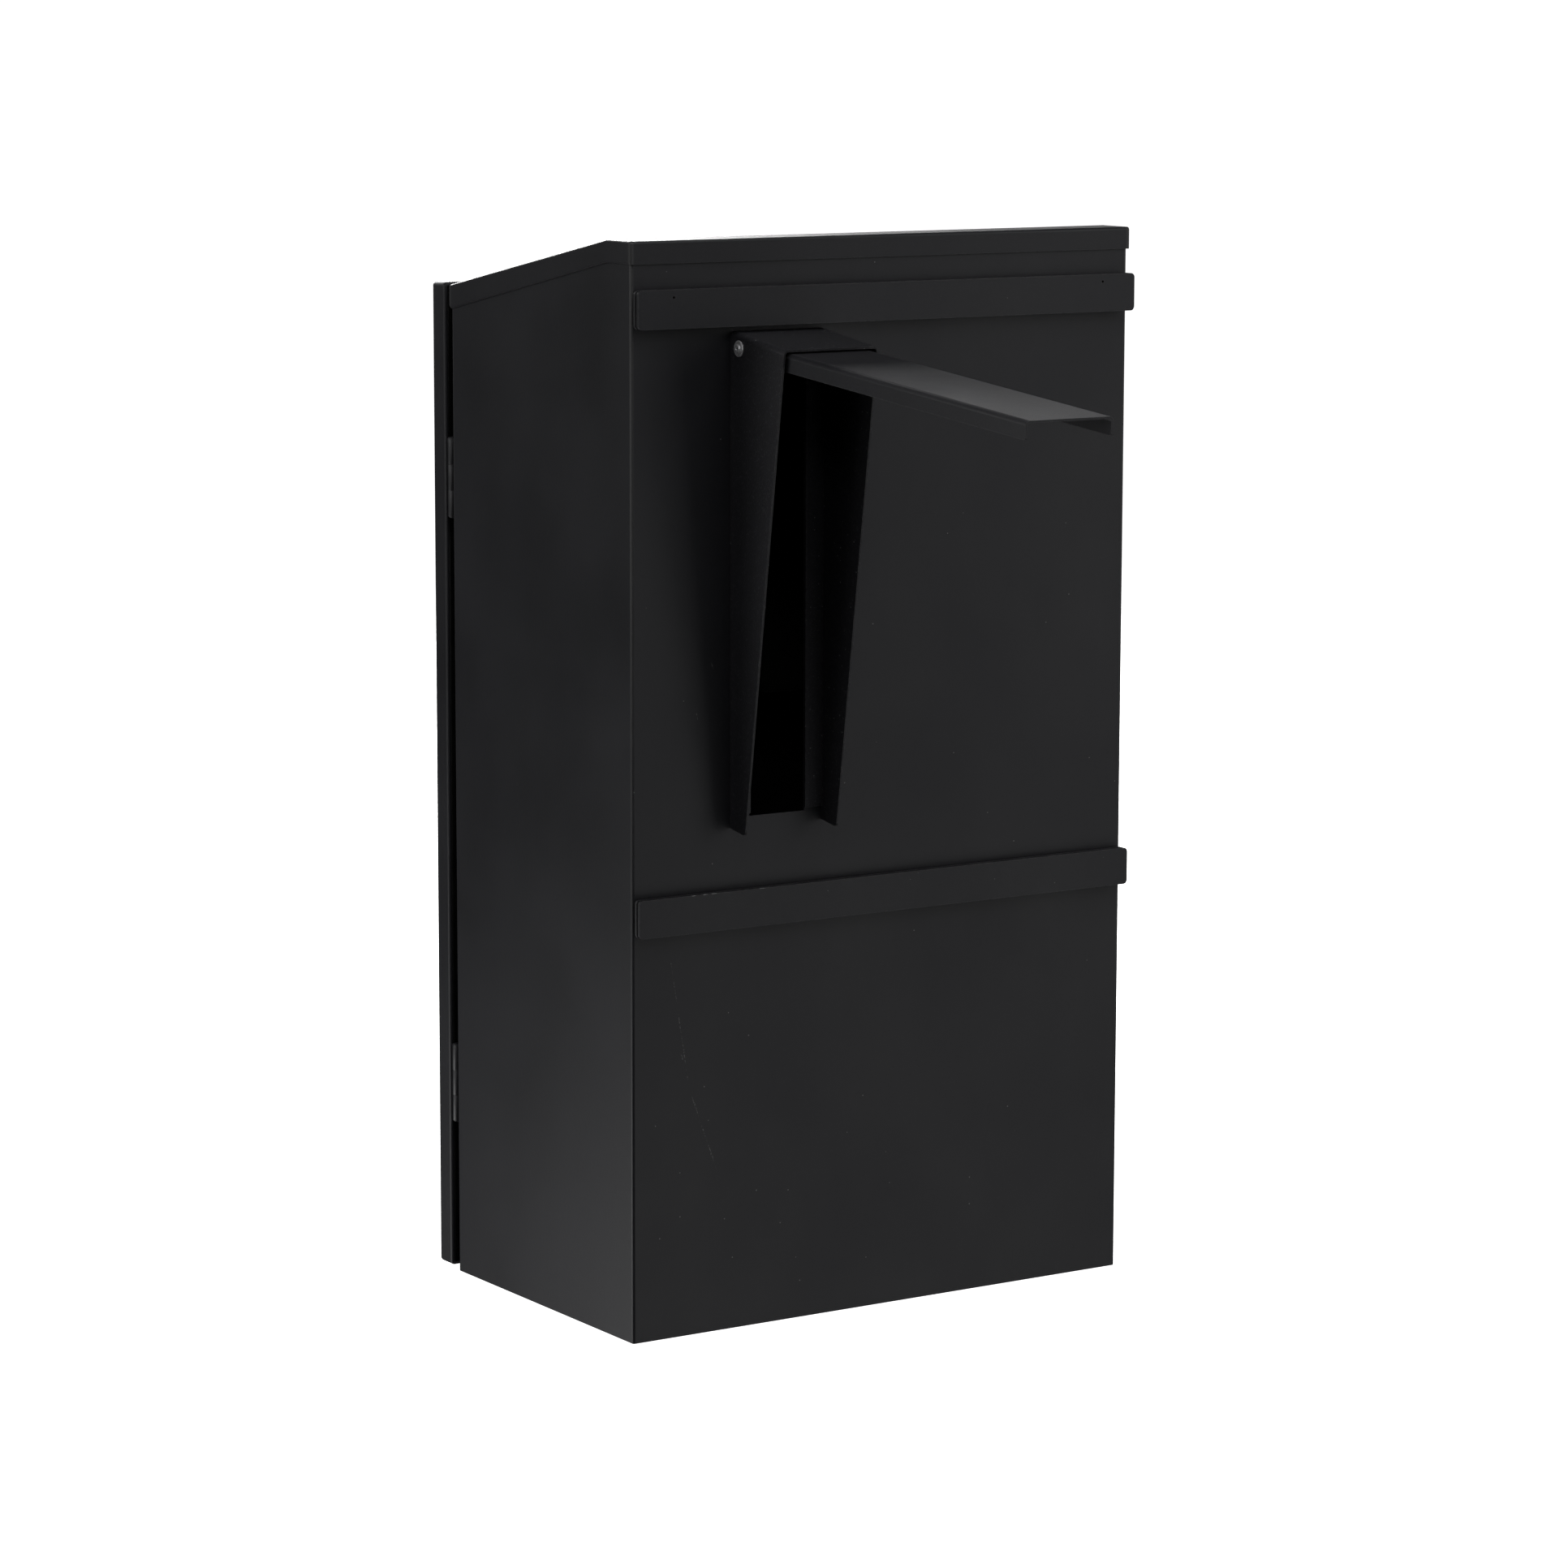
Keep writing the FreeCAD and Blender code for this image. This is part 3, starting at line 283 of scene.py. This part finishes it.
def powder_coat(name, tone=0.0105, roughness=0.44, specular=0.28, grain=0.55 * MM, grain_depth=0.02,
                peel_depth=0.05, speck_share=0.006, speck_size=1.0, glint=0.0, edge_wear_and_highlight=0.0, painted_corner_highlights=False,
                tip_light_span=None, chips=(), scuffs=()):
    """Fine-texture black powder coat: grain, orange peel, dust, specks, wear at the edges that is also a
    painted edge highlight, painted shade in creases, and optionally a painted highlight on the upright
    corners and painted light toward the arm's tip.
    """
    n = Nodes(name)
    cloud = n.noise(CLOUD_SIZE, 3.0, 0.55)
    streak = n.noise(STREAK_SIZE, 3.0, 0.6, place=n.stretch(STREAK_STRETCH))
    fine = n.noise(grain, 2.0, 0.6)
    peel = n.noise(PEEL_SIZE, 1.5, 0.5)
    tint = n.math("ADD", n.math("MULTIPLY", cloud, 0.6), n.math("MULTIPLY", streak, 0.4))
    colour = n.blend(n.spread(tint), grey(tone * 0.9, 1.16), grey(tone * 1.1, 1.22))
    colour = n.blend(n.range(fine, 0.58, 0.78, 0.0, 0.35 + glint), colour,
                     grey(tone * (2.1 + 5.0 * glint), 1.1))
    chance = n.add("ShaderNodeSeparateColor")
    n.set(chance.inputs[0], n.cells(SPECK_PITCH, "Color"))
    dot_size = n.range(chance.outputs[1], 0.0, 1.0, 0.03 * speck_size, 0.11 * speck_size)
    dot = n.math("LESS_THAN", n.cells(SPECK_PITCH), dot_size)
    chosen = n.math("LESS_THAN", chance.outputs[0], speck_share)
    speck = n.math("MULTIPLY", dot, chosen)
    colour = n.blend(n.math("MULTIPLY", speck, SPECK_STRENGTH), colour, grey(SPECK_TONE))
    rough = n.spread(cloud, roughness - 0.04, roughness + 0.05)
    # Edge wear and painted edge highlight: rounded edges are lightened toward a pale grey in broken patches,
    # standing in for worn coat and for the highlights the edges catch.
    if edge_wear_and_highlight or chips:
        edge = n.edges(EDGE_RADIUS)
        worn_and_lit_edge = n.math("MULTIPLY", edge, n.range(n.noise(4 * MM, 3.0), 0.35, 0.75, 0.1, 1.0))
        colour = n.blend(n.math("MULTIPLY", worn_and_lit_edge, edge_wear_and_highlight), colour, grey(EDGE_WEAR_AND_HIGHLIGHT_TONE))
    if chips:
        bare = n.math("MULTIPLY", n.near_points(chips, CHIP_RADIUS), n.range(edge, 0.02, 0.2))
        colour = n.blend(bare, colour, grey(CHIP_TONE))
    # Painted highlight: a pale line down the four upright corners, strongest high up and fading out lower
    # down.
    if painted_corner_highlights:
        line = n.upright_corners(SHELL_HIGH.x, BACK, CORNER_LINE, *CORNER_FADE)
        corner_highlight_mask = n.math("MULTIPLY", line, n.spread(fine, 0.45, 0.75))
        colour = n.blend(corner_highlight_mask, colour, grey(CORNER_HIGHLIGHT_TONE))
    # Painted light: the coat turns lighter along Y over the given span, toward the arm's tip, where more
    # light falls.
    if tip_light_span is not None:
        painted_tip_light = n.math("MULTIPLY", n.toward(1, *tip_light_span), TIP_LIGHT_STRENGTH)
        colour = n.blend(painted_tip_light, colour, grey(tone * 2.2, 1.1))
    if scuffs:
        marks = n.strokes(scuffs, SCUFF_HALF_WIDTH)
        colour = n.blend(n.math("MULTIPLY", marks, SCUFF_STRENGTH), colour, grey(SCUFF_TONE))
    # Painted shade: tight inner corners and narrow gaps, found by ambient occlusion, are darkened toward near
    # black and made rougher.
    crease_shade_mask = n.creases(CREASE_REACH)
    colour = n.blend(n.math("MULTIPLY", crease_shade_mask, CREASE_SHADE), colour, grey(tone * CREASE_TONE))
    n.set(n.shader.inputs["Base Color"], colour)
    rough_crease = n.math("MULTIPLY", crease_shade_mask, CREASE_ROUGHNESS)
    n.set(n.shader.inputs["Roughness"], n.math("MAXIMUM", rough, rough_crease))
    n.shader.inputs["Specular IOR Level"].default_value = specular
    coarse = n.bump(peel, peel_depth * MM, 0.6)
    n.set(n.shader.inputs["Normal"], n.bump(fine, grain_depth * MM, 0.8, coarse))
    return n.material


def bare_metal(name, tone, roughness, scratch_axis=(1.0, 1.0, 12.0), tint=1.02, metallic=1.0):
    """Steel or plating with fine brushing and small stains."""
    n = Nodes(name)
    brush = n.noise(0.9 * MM, 3.0, 0.65, place=n.stretch(scratch_axis))
    stain = n.noise(6 * MM, 3.0, 0.6)
    colour = n.blend(n.range(stain, 0.35, 0.7), grey(tone * 0.72, tint), grey(tone, tint))
    n.set(n.shader.inputs["Base Color"], colour)
    n.shader.inputs["Metallic"].default_value = metallic
    n.set(n.shader.inputs["Roughness"], n.spread(brush, roughness - 0.07, roughness + 0.12))
    n.set(n.shader.inputs["Normal"], n.bump(brush, 0.02 * MM, 0.7))
    return n.material


def rubber(name, tone=0.012, roughness=0.75, specular=0.3):
    """Matt moulded rubber with dusty patches."""
    n = Nodes(name)
    dust = n.noise(0.02, 4.0, 0.6)
    skin = n.noise(0.7 * MM, 3.0, 0.6)
    colour = n.blend(n.range(dust, 0.42, 0.75), grey(tone), grey(tone * 2.4, 0.97))
    n.set(n.shader.inputs["Base Color"], colour)
    n.set(n.shader.inputs["Roughness"], n.spread(dust, roughness - 0.08, roughness + 0.1))
    n.shader.inputs["Specular IOR Level"].default_value = specular
    n.set(n.shader.inputs["Normal"], n.bump(skin, 0.03 * MM, 0.7))
    return n.material


def nylon(name, tone=0.03):
    """Moulded black nylon."""
    n = Nodes(name)
    skin = n.noise(0.5 * MM, 2.0, 0.5)
    colour = n.blend(n.spread(skin), grey(tone * 0.85), grey(tone * 1.2))
    n.set(n.shader.inputs["Base Color"], colour)
    n.set(n.shader.inputs["Roughness"], n.spread(skin, 0.42, 0.55))
    n.set(n.shader.inputs["Normal"], n.bump(skin, 0.02 * MM, 0.5))
    return n.material


# ---------------------------------------------------------------------------------------------------
# Marks the object carries
# ---------------------------------------------------------------------------------------------------
ARM_CHIPS = [(ARM_HIGH.x - 1 * MM, BACK + reach * MM, ARM_TOP_AT_PIVOT - (reach - PIVOT_OUT) * MM * ARM_SLOPE)
             for reach in (92, 214, 300)]
BRACKET_CHIPS = [(BRACKET_HIGH.x, BACK + 33 * MM, 0.456), (BRACKET_HIGH.x, BACK + 1 * MM, 0.534)]
RAIL_CHIPS = [(LOWER_RAIL_HIGH.x - offset * MM, LOWER_RAIL_HIGH.y, LOWER_RAIL_HIGH.z)
              for offset in (42, 51, 58, 96)]
# Start and end of each scratch on the back panel, about where the photograph shows scratches.
PANEL_SCUFFS = [
    ((0.1520, BACK, 0.430), (0.1490, BACK, 0.418)),
    ((0.1385, BACK, 0.455), (0.1372, BACK, 0.451)),
    ((0.1700, BACK, 0.256), (0.1560, BACK, 0.170)),
    ((0.1560, BACK, 0.170), (0.1330, BACK, 0.108)),
    ((0.1622, BACK, 0.194), (0.1612, BACK, 0.190)),
]


# Span along Y over which the arm's coat is painted lighter toward its tip: painted light, not a mark.
ARM_TIP_LIGHT_SPAN = (BACK + 160 * MM, BACK + 330 * MM)


def finish_nodes():
    """Give every CAD node its material, softened edges and clean shading."""
    smooth = powder_coat("smooth_coat", edge_wear_and_highlight=0.30, painted_corner_highlights=True)
    panel = powder_coat("panel_coat", scuffs=PANEL_SCUFFS, speck_share=0.012, speck_size=1.3, edge_wear_and_highlight=0.20,
                        painted_corner_highlights=True)
    textured = powder_coat("textured_coat", tone=0.0118, roughness=0.55, grain=1.1 * MM,
                           grain_depth=0.20, speck_share=0.22, speck_size=1.8, glint=0.5, edge_wear_and_highlight=0.60,
                           chips=BRACKET_CHIPS)
    arm = powder_coat("arm_coat", tone=0.012, roughness=0.52, grain=0.8 * MM, grain_depth=0.10,
                      speck_share=0.08, speck_size=1.3, glint=0.12, edge_wear_and_highlight=0.85, chips=ARM_CHIPS,
                      tip_light_span=ARM_TIP_LIGHT_SPAN)
    rail = powder_coat("rail_coat", tone=0.011, grain=0.6 * MM, grain_depth=0.05, speck_share=0.03,
                       edge_wear_and_highlight=0.60, chips=RAIL_CHIPS)
    hinge = powder_coat("hinge_coat", tone=0.009, roughness=0.38, specular=0.4, edge_wear_and_highlight=0.3)
    seal = rubber("seal_rubber")
    steel = bare_metal("rivet_steel", 0.80, 0.26, metallic=0.72)
    zinc = bare_metal("zinc_plating", 0.55, 0.30, tint=1.05)
    chrome = bare_metal("satin_chrome", 0.68, 0.18, scratch_axis=(1.0, 12.0, 1.0))
    washer = nylon("washer_nylon")
    by_slot = {"black_powder_coat": smooth, "black_textured_coat": textured, "arm_coat": arm,
               "hinge_coat": hinge, "rubber_seal": seal, "mat_rubber": seal, "rivet_steel": steel,
               "zinc_steel": zinc, "washer_nylon": washer, "lock_chrome": chrome}
    slots = {row["node"]: row["material_slot"] for row in frame["record"]["subparts"]}
    for name, node in NODES.items():
        material = by_slot[slots[name]]
        if "rail" in name:
            material = rail
        if name == "body_shell":
            material = panel
        paint(node, material)
        soften(node, edge_width(name, slots[name]))


WELD_REACH = 0.002 * MM
BEVEL_ANGLE = math.radians(40)
BEVEL_SEGMENTS = 3
FINE_EDGE = 0.2 * MM
STRAP_EDGE = 0.75 * MM
FOLDED_EDGE = 0.45 * MM
PLAIN_EDGE = 0.35 * MM
FINE_SLOTS = ("rivet_steel", "zinc_steel", "washer_nylon", "lock_chrome", "hinge_coat")
FOLDED_SHEET = ("arm_bracket", "swing_arm")


def edge_width(name, slot):
    """Rounding of a node's sharp edges: fine on small parts, generous on the coated straps."""
    if slot in FINE_SLOTS:
        return FINE_EDGE
    if "strap" in name:
        return STRAP_EDGE
    return FOLDED_EDGE if name in FOLDED_SHEET else PLAIN_EDGE


def paint(obj, material):
    """One material all over."""
    obj.data.materials.clear()
    obj.data.materials.append(material)


def soften(obj, width):
    """Join split corners, round the sharp edges and keep flat faces flat."""
    weld = obj.modifiers.new("weld", "WELD")
    weld.merge_threshold = WELD_REACH
    bevel = obj.modifiers.new("edge_radius", "BEVEL")
    bevel.width = width
    bevel.segments = BEVEL_SEGMENTS
    bevel.limit_method = "ANGLE"
    bevel.angle_limit = BEVEL_ANGLE
    bevel.harden_normals = True


# ---------------------------------------------------------------------------------------------------
# Pieces added to the frame
# ---------------------------------------------------------------------------------------------------
def mesh_piece(name, mesh_maker, material, body, replaced=()):
    """Put a bmesh in the scene as a piece of the object."""
    sheet = bpy.data.meshes.new(name)
    made = bmesh.new()
    mesh_maker(made)
    bmesh.ops.recalc_face_normals(made, faces=made.faces)
    made.to_mesh(sheet)
    made.free()
    for face in sheet.polygons:
        face.use_smooth = True
    piece = bpy.data.objects.new(name, sheet)
    bpy.context.scene.collection.objects.link(piece)
    paint(piece, material)
    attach(piece, body)
    if replaced:
        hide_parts(*replaced)
    return piece


def sweep(made, section, path):
    """Closed tube of quads through equal rings; section gives a ring's points for a path place."""
    rings = [[made.verts.new(point) for point in section(place)] for place in path]
    count = len(rings[0])
    for first, second in zip(rings, rings[1:]):
        for index in range(count):
            follow = (index + 1) % count
            made.faces.new((first[index], first[follow], second[follow], second[index]))
    made.faces.new(rings[0])
    made.faces.new(reversed(rings[-1]))


MAT_BORDER = 9 * MM
RIB_PITCH = 6 * MM
RIB_HEIGHT = 1.1 * MM
MAT_SINK = 0.5 * MM
MAT_EDGE = 1.5 * MM
MAT_MARGIN = 3 * MM
RIB_ROUNDING = 0.2
MAT_BEVEL = 0.25 * MM


def ribbed_mat():
    """Floor mat with fine ribs across its width, in place of the plain CAD sheet."""
    low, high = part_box("floor_mat")
    count = int((high.y - low.y - 2 * MAT_BORDER) / RIB_PITCH)
    start = (low.y + high.y - count * RIB_PITCH) / 2
    end = start + count * RIB_PITCH
    top = high.z - MAT_SINK
    foot = top - RIB_HEIGHT
    shoulder = high.z - RIB_ROUNDING * RIB_HEIGHT

    def profile(x):
        """Outline of the mat across its ribs, at one X."""
        points = [(x, low.y, low.z), (x, low.y, foot), (x, low.y + MAT_EDGE, top)]
        points += [(x, start - MAT_MARGIN, top)]
        for index in range(count):
            y = start + index * RIB_PITCH
            points += [(x, y, foot), (x, y + 0.25 * RIB_PITCH, shoulder),
                       (x, y + 0.5 * RIB_PITCH, high.z), (x, y + 0.75 * RIB_PITCH, shoulder)]
        points += [(x, end, foot), (x, end + MAT_MARGIN, top)]
        return points + [(x, high.y - MAT_EDGE, top), (x, high.y, foot), (x, high.y, low.z)]

    mat = mesh_piece("ribbed_floor_mat", lambda made: sweep(made, profile, (low.x, high.x)),
                     rubber("mat_rubber", tone=0.020), "cabinet", ["floor_mat"])
    soften(mat, MAT_BEVEL)


TAPE_LIP = 15 * MM
TAPE_THICK = 0.9 * MM
TAPE_ROUND = 0.35 * TAPE_THICK
TAPE_GAP = 1 * MM
DOOR_BEND = 2.6 * MM


def gap_shade_tapes():
    """Black foam tape stuck on the door's rear lip, in lengths that stop at the hinge leaves; its near-black,
    dull surface is painted shade that keeps the gap behind the door dark.
    """
    # Painted shade: foam so dark and dull that the door gap reads as deep shadow.
    dark_gap_lining = rubber("gap_shade_foam", tone=0.0022, roughness=0.95, specular=0.02)
    rear = DOOR_HIGH.y
    spans = [DOOR_LOW.z + DOOR_BEND]
    for hinge in ("lower", "upper"):
        leaf_low, leaf_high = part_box(f"{hinge}_hinge_door_leaf")
        spans += [leaf_low.z - TAPE_GAP, leaf_high.z + TAPE_GAP]
    spans.append(DOOR_HIGH.z - DOOR_BEND)

    def strip(name, low_x, high_x, low_z, high_z):
        """One length of tape with rounded long edges."""
        tall = high_z - low_z > high_x - low_x
        across_low, across_high = (low_x, high_x) if tall else (low_z, high_z)
        outline = [(across_low, 0.0), (across_low, TAPE_THICK - TAPE_ROUND),
                   (across_low + TAPE_ROUND, TAPE_THICK), (across_high - TAPE_ROUND, TAPE_THICK),
                   (across_high, TAPE_THICK - TAPE_ROUND), (across_high, 0.0)]

        def section(place):
            """Points of the tape's outline at one place along it."""
            if tall:
                return [(side, rear + out, place) for side, out in outline]
            return [(place, rear + out, side) for side, out in outline]

        path = (low_z, high_z) if tall else (low_x, high_x)
        mesh_piece(name, lambda made: sweep(made, section, path), dark_gap_lining, "door")

    for index in range(0, len(spans), 2):
        strip(f"door_gap_shade_tape_hinge_{index // 2 + 1}", DOOR_HIGH.x - TAPE_LIP, DOOR_HIGH.x - DOOR_BEND,
              spans[index], spans[index + 1])
    strip("door_gap_shade_tape_lock", DOOR_LOW.x + DOOR_BEND, DOOR_LOW.x + TAPE_LIP, spans[0], spans[-1])
    inside = DOOR_HIGH.x - TAPE_LIP - TAPE_GAP
    strip("door_gap_shade_tape_top", -inside, inside, DOOR_HIGH.z - TAPE_LIP, DOOR_HIGH.z - DOOR_BEND)
    strip("door_gap_shade_tape_bottom", -inside, inside, DOOR_LOW.z + DOOR_BEND, SEAL_LOW.z - TAPE_GAP)


# ---------------------------------------------------------------------------------------------------
# Studio
# ---------------------------------------------------------------------------------------------------
FLOOR_SIZE = 30.0
FLOOR_DROP = 0.2 * MM
LIGHTS_AIM = Vector((0.0, 0.0, 0.4))
BACKDROP_LIGHT = 1.10
FLOOR_GLOW = 1.10
# Each soft box: place, size and power. Places and sizes were set. The powers, and which boxes are kept,
# follow a least-squares fit to the photograph's grey levels by a separate script, rounded afterwards: see
# report.md.
# Those under the floor's level are the glow of a lit white table.
LIGHTS = (
    ("over_back", (0.0, 1.5, 2.8), (2.0, 2.0), 34.0),
    ("overhead", (0.0, 0.1, 3.0), (2.4, 1.2), 3.5),
    ("front_high", (-0.8, -3.2, 1.8), (2.0, 2.0), 80.0),
    ("front_band", (-0.8, -3.3, 1.75), (2.0, 0.6), 90.0),
    ("front_left", (1.5, -2.8, 1.8), (1.6, 1.6), 9.0),
    ("right_box", (-2.6, 2.2, 1.6), (1.2, 2.2), 22.0),
    ("left_high_front", (2.8, -1.0, 1.4), (1.4, 1.4), 14.0),
    ("left_back", (3.2, 1.2, 1.2), (1.0, 2.0), 6.0),
    ("left_front_low", (2.6, -1.4, 0.3), (1.2, 1.2), 3.0),
    ("corner_glow", (2.6, 0.5, 0.55), (0.5, 0.7), 4.0),
    ("camera_high", (2.2, 3.4, 2.6), (0.8, 0.8), 12.0),
    ("right_far_low", (-2.2, 2.6, 0.0), (1.6, 1.0), 6.5),
    ("side_away", (-3.2, -0.6, 1.2), (1.4, 1.8), 22.0),
    ("left_table", (1.2, -0.5, -0.5), (1.0, 1.0), 5.5),
    ("left_table_near", (0.8, -0.3, -0.15), (0.5, 0.5), 1.5),
    ("right_table", (-0.6, 1.5, -0.6), (1.4, 1.0), 4.5),
)


def studio():
    """White floor and backdrop that glow for the camera only, and soft boxes on all sides."""
    world = bpy.data.worlds.new("studio")
    bpy.context.scene.world = world
    world.use_nodes = True
    tree = world.node_tree
    tree.nodes.clear()
    output = tree.nodes.new("ShaderNodeOutputWorld")
    mix = tree.nodes.new("ShaderNodeMixShader")
    rays = tree.nodes.new("ShaderNodeLightPath")
    background = tree.nodes.new("ShaderNodeBackground")
    background.inputs["Strength"].default_value = BACKDROP_LIGHT
    background.inputs["Color"].default_value = (1.0, 1.0, 1.0, 1.0)
    tree.links.new(background.outputs[0], mix.inputs[2])
    tree.links.new(rays.outputs["Is Camera Ray"], mix.inputs[0])
    tree.links.new(mix.outputs[0], output.inputs["Surface"])

    bpy.ops.mesh.primitive_plane_add(size=FLOOR_SIZE, location=(0.0, 0.0, cad_low.z - FLOOR_DROP))
    floor = bpy.context.object
    floor.name = "floor"
    n = Nodes("floor_white")
    pale = n.blend(n.noise(0.6, 2.0), grey(0.80), grey(0.83))
    n.set(n.shader.inputs["Base Color"], pale)
    n.shader.inputs["Roughness"].default_value = 0.9
    n.shader.inputs["Emission Color"].default_value = (1.0, 1.0, 1.0, 1.0)
    n.shader.inputs["Emission Strength"].default_value = FLOOR_GLOW
    paint(floor, n.material)
    floor.visible_diffuse = False
    floor.visible_glossy = False
    floor.visible_shadow = False

    for name, place, size, power in LIGHTS:
        light = bpy.data.lights.new(name, "AREA")
        light.shape = "RECTANGLE"
        light.size, light.size_y = size
        light.energy = power
        lamp = bpy.data.objects.new(name, light)
        bpy.context.scene.collection.objects.link(lamp)
        lamp.location = place
        aim = LIGHTS_AIM - lamp.location
        lamp.rotation_euler = aim.to_track_quat("-Z", "Y").to_euler()
        lamp.visible_camera = False



# The camera's angles, place and lens come from a camera solve on the photograph, rounded.
AZIMUTH = math.radians(146.94)
ELEVATION = math.radians(8.91)
ROLL = math.radians(0.13)
CAMERA_PLACE = Vector((1.933, BACK + 2.8455, 0.9015))
LENS = 117.8
SENSOR = 36.0
FAR_CLIP = 60.0


def camera():
    """The photograph's view: a long lens behind and a little above the box."""
    back = Vector((math.sin(AZIMUTH) * math.cos(ELEVATION),
                   -math.cos(AZIMUTH) * math.cos(ELEVATION), math.sin(ELEVATION)))
    right = Vector((0.0, 0.0, 1.0)).cross(back).normalized()
    up = back.cross(right)
    side = right * math.cos(ROLL) + up * math.sin(ROLL)
    top = up * math.cos(ROLL) - right * math.sin(ROLL)
    data = bpy.data.cameras.new("camera")
    data.lens = LENS
    data.sensor_width = SENSOR
    data.clip_end = FAR_CLIP
    view = bpy.data.objects.new("camera", data)
    bpy.context.scene.collection.objects.link(view)
    turned = Matrix((side, top, back)).transposed().to_4x4()
    turned.translation = CAMERA_PLACE
    view.matrix_world = turned
    bpy.context.scene.camera = view


finish_nodes()
ribbed_mat()
gap_shade_tapes()
studio()
camera()
bpy.context.scene.view_settings.view_transform = "Standard"
bpy.context.view_layer.update()
